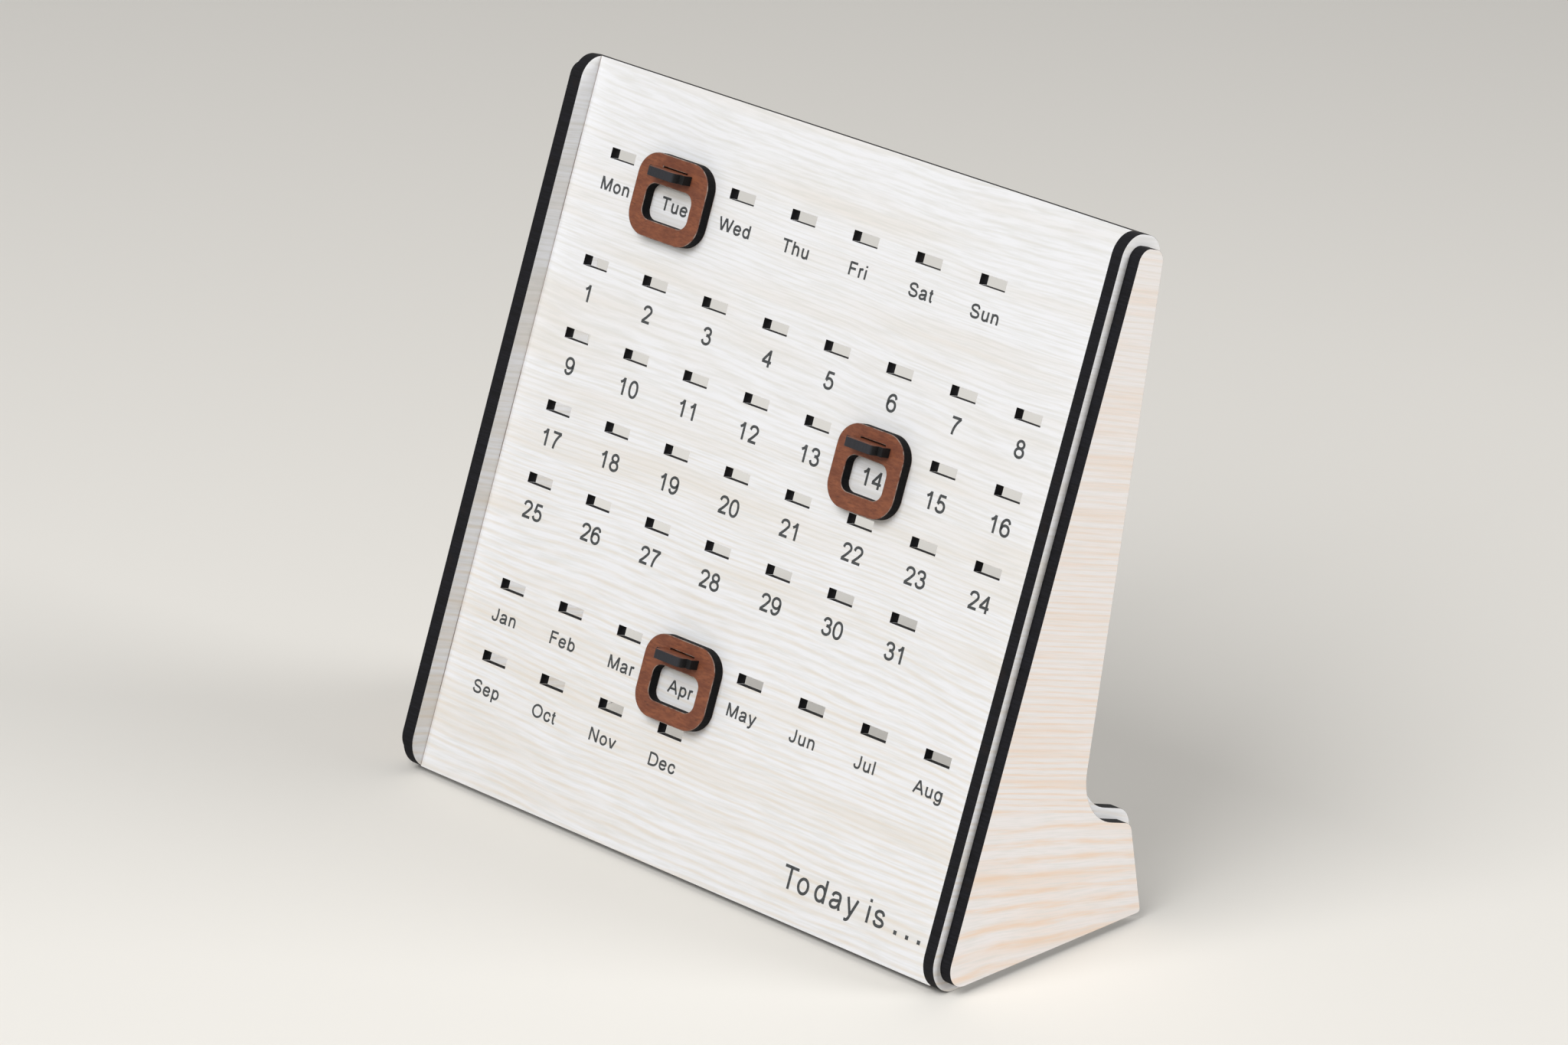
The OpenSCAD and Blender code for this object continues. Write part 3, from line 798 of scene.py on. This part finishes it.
def lay_floor(looks):
    """A plain matt floor six metres out, darker in its bounced light than to the eye."""
    reach = 6
    corners = [(-reach, -reach, 0), (reach, -reach, 0), (reach, reach, 0), (-reach, reach, 0)]
    floor = bpy.data.meshes.new("floor")
    floor.from_pydata(corners, [], [(0, 1, 2, 3)])
    material = bpy.data.materials.new("pale_matt_floor")
    material.use_nodes = True
    tree = material.node_tree
    shader = tree.nodes["Principled BSDF"]
    colour = add(tree, "ShaderNodeMix", {0: seen_directly(tree), 6: looks.floor, 7: looks.backdrop}, **BLEND)
    tree.links.new(colour, shader.inputs["Base Color"])
    shader.inputs["Roughness"].default_value = 0.9
    floor.materials.append(material)
    new_object("floor", floor)


def surround(scene, looks):
    """An even white light all round, which the eye sees as the backdrop."""
    scene.world = bpy.data.worlds.new("studio")
    scene.world.use_nodes = True
    tree = scene.world.node_tree
    even = tree.nodes["Background"]
    even.inputs["Color"].default_value = linear("#FFFFFF")
    even.inputs["Strength"].default_value = looks.sky
    seen = add(tree, "ShaderNodeBackground", {"Color": looks.backdrop, "Strength": 1})
    mixed = add(tree, "ShaderNodeMixShader", {0: seen_directly(tree), 1: even.outputs[0], 2: seen})
    tree.links.new(mixed, tree.nodes["World Output"].inputs["Surface"])


def hang_soft_box(name, spot, size, spread, power):
    """A square soft light that faces the calendar's middle, with a grid that narrows its spread."""
    lamp = bpy.data.lights.new(name, "AREA")
    lamp.shape = "SQUARE"
    lamp.size = size
    lamp.spread = math.radians(spread)
    lamp.energy = power
    holder = new_object(name, lamp)
    holder.location = spot
    middle = Vector((0, 0, 0.09))
    holder.rotation_euler = (middle - Vector(spot)).to_track_quat("-Z", "Y").to_euler()


def place_camera(scene):
    """The camera, in front and to the right, looking down by 21 degrees."""
    camera = bpy.data.cameras.new("camera")
    camera.lens = 153.657
    camera.sensor_width = 36
    camera.clip_start = 0.05
    camera.clip_end = 50
    holder = new_object("camera", camera)
    holder.location = (0.997517, -1.116884, 0.659438)
    holder.rotation_euler = [math.radians(a) for a in (68.933157, -2.910723, 42.852745)]
    scene.camera = holder


class CALENDAR_OT_stage(bpy.types.Operator):
    """Set the floor, the soft lights and the camera"""
    bl_idname = "calendar.stage"
    bl_label = "Set the stage"

    def execute(self, context):
        scene, looks = context.scene, context.scene.calendar_stage
        lay_floor(looks)
        surround(scene, looks)
        hang_soft_box("key", spot=(0.1, -1.3, 1.4), size=1.2, spread=120, power=looks.key)
        hang_soft_box("side", spot=(1.5, 0.8, 0.75), size=1, spread=100, power=looks.side)
        place_camera(scene)
        scene.view_settings.view_transform = "Standard"
        return {"FINISHED"}


class CALENDAR_PT_sidebar(bpy.types.Panel):
    """The calendar's steps and settings"""
    bl_idname = "CALENDAR_PT_sidebar"
    bl_label = "Desk calendar"
    bl_space_type = "VIEW_3D"
    bl_region_type = "UI"
    bl_category = "Calendar"

    def draw(self, context):
        for operator in OPERATORS:
            self.layout.operator(operator.bl_idname)
        for name in SETTINGS:
            box = self.layout.box()
            group = getattr(context.scene, name)
            for key in group.bl_rna.properties.keys():
                if key not in ("rna_type", "name"):
                    box.prop(group, key)


SETTINGS = {
    "calendar_panel": CalendarPanelSizes,
    "calendar_lettering": CalendarLettering,
    "calendar_finishes": CalendarFinishes,
    "calendar_stage": CalendarStage,
}
OPERATORS = (CALENDAR_OT_boards, CALENDAR_OT_lettering, CALENDAR_OT_markers, CALENDAR_OT_stage)


def register():
    """Registers the settings, the operators and the sidebar panel."""
    for cls in (*SETTINGS.values(), *OPERATORS, CALENDAR_PT_sidebar):
        bpy.utils.register_class(cls)
    for name, cls in SETTINGS.items():
        setattr(bpy.types.Scene, name, bpy.props.PointerProperty(type=cls))


def unregister():
    """Takes them back in reverse."""
    for name in SETTINGS:
        delattr(bpy.types.Scene, name)
    for cls in reversed((*SETTINGS.values(), *OPERATORS, CALENDAR_PT_sidebar)):
        bpy.utils.unregister_class(cls)


def main():
    """Makes the calendar and its stage."""
    register()
    bpy.ops.calendar.boards()
    bpy.ops.calendar.lettering()
    bpy.ops.calendar.markers()
    bpy.ops.calendar.stage()
    bpy.context.view_layer.update()


if __name__ == "__main__":
    main()
